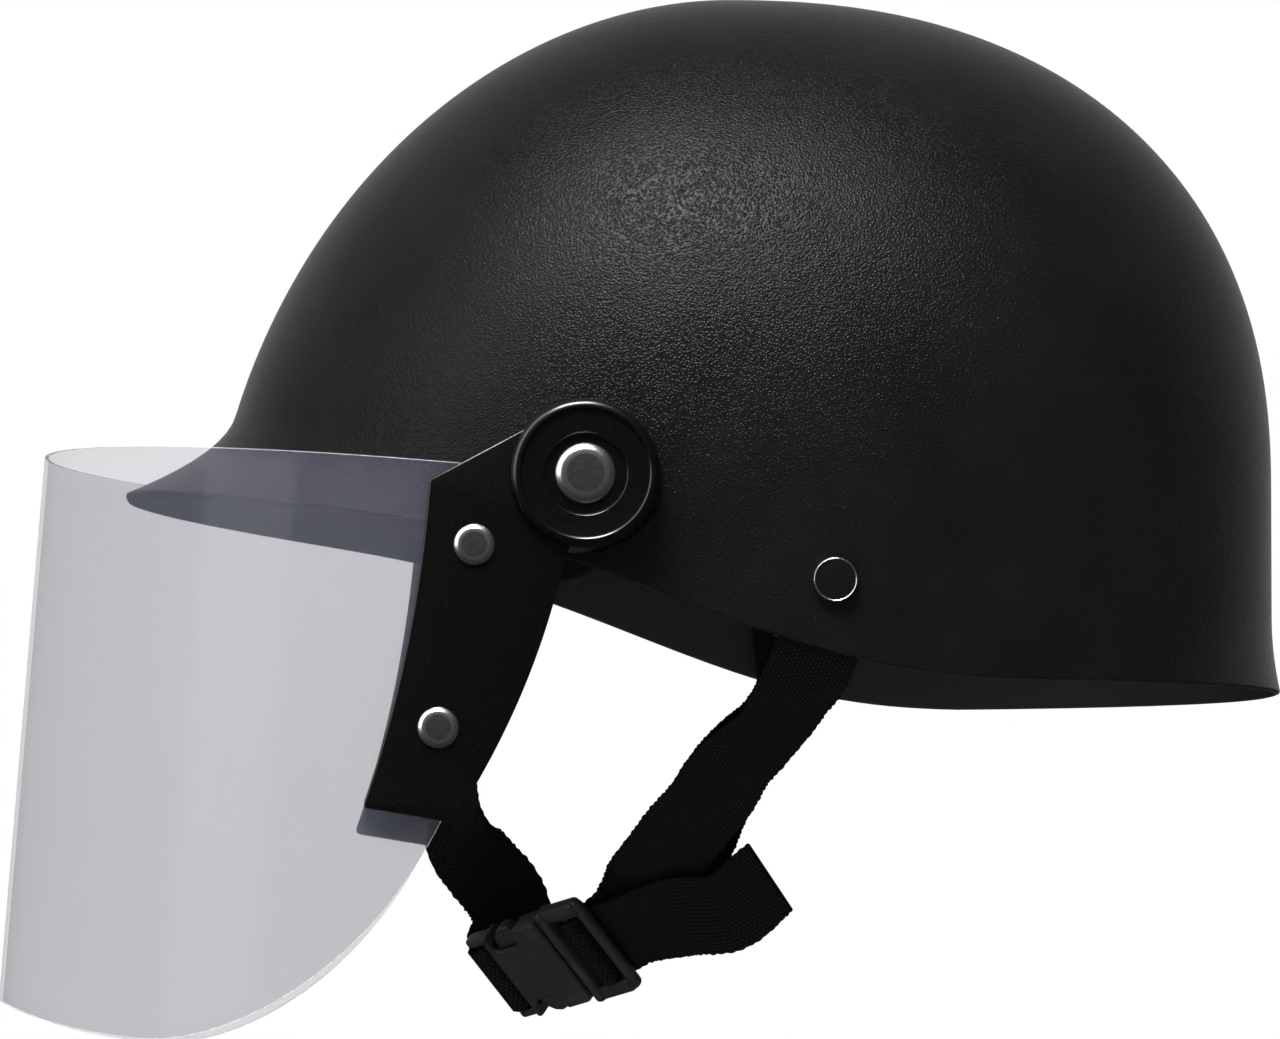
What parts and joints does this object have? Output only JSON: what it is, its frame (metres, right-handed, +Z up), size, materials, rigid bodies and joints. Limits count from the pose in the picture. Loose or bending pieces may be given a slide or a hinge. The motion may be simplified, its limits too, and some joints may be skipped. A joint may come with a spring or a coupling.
{
  "type": "riot helmet",
  "caption": "Black moulded helmet shell with a front brim, a tilting clear face visor on two round-bossed arms and a webbing chin strap with a side-release buckle.",
  "frame": {"origin": "on the centre plane at the height of the nape rim, below the crown: the middle of the opening that the head enters", "axes": "+Z up, -Y the way the wearer faces, +X the wearer's left"},
  "size_m": [0.2424, 0.3097, 0.252],
  "materials": {
    "shell_plastic": "fine pebble grain, satin",
    "foam": "closed-cell foam skin",
    "nickel": "satin nickel plate",
    "washer_steel": "zinc plate",
    "washer_fibre": "pressed fibre",
    "visor_clear": "clear sheet, faint cool tint",
    "arm_gloss": "polished black",
    "webbing": "woven polypropylene",
    "buckle_plastic": "smooth acetal"
  },
  "bodies": {
    "helmet": {"shell": "shell_plastic", "brow_pad": "foam", "crown_pad": "foam", "rear_pad": "foam", "side_pad_left": "foam", "side_pad_right": "foam", "pivot_rivet_left": "nickel", "pivot_rivet_right": "nickel", "pivot_washer_left": "washer_steel", "pivot_washer_right": "washer_steel", "friction_washer_left": "washer_fibre", "friction_washer_right": "washer_fibre", "strap_rivet_left": "nickel", "strap_rivet_right": "nickel", "strap_washer_left": "washer_steel", "strap_washer_right": "washer_steel"},
    "face_shield": {"visor": "visor_clear", "visor_arm_left": "arm_gloss", "visor_arm_right": "arm_gloss", "visor_rivets": "nickel", "visor_rivet_washers": "washer_steel"},
    "chin_strap": {"strap_left": "webbing", "strap_right": "webbing", "buckle_socket": "buckle_plastic"},
    "clip": {"buckle_clip": "buckle_plastic", "strap_left_tail": "webbing"},
    "prong_upper": {"release_prong_upper": "buckle_plastic"},
    "prong_lower": {"release_prong_lower": "buckle_plastic"}
  },
  "joints": [
    {"name": "visor_tilt", "type": "hinge", "parent": "helmet", "child": "face_shield", "pos_m": [0, -0.0386, 0.0464], "axis": [-1, 0, 0], "range_deg": [0, 85]},
    {"name": "chin_strap_swing", "type": "hinge", "parent": "helmet", "child": "chin_strap", "pos_m": [0, 0.0198, 0.0225], "axis": [1, 0, 0], "range_deg": [-20, 12]},
    {"name": "buckle_release", "type": "slide", "parent": "chin_strap", "child": "clip", "axis": [0.7027, 0.6826, 0.2008], "range_m": [0, 0.02], "deforming": ["strap_left", "release_prong_upper", "release_prong_lower"]},
    {"name": "prong_press_upper", "type": "hinge", "parent": "clip", "child": "prong_upper", "pos_m": [0.01809, -0.04497, -0.05811], "axis": [0.6152, -0.4411, -0.6534], "range_deg": [0, 12], "stiffness_Nm_per_rad": 0.3},
    {"name": "prong_press_lower", "type": "hinge", "parent": "clip", "child": "prong_lower", "pos_m": [0.0128, -0.03634, -0.06892], "axis": [-0.6152, 0.4411, 0.6534], "range_deg": [0, 12], "stiffness_Nm_per_rad": 0.3}
  ]
}
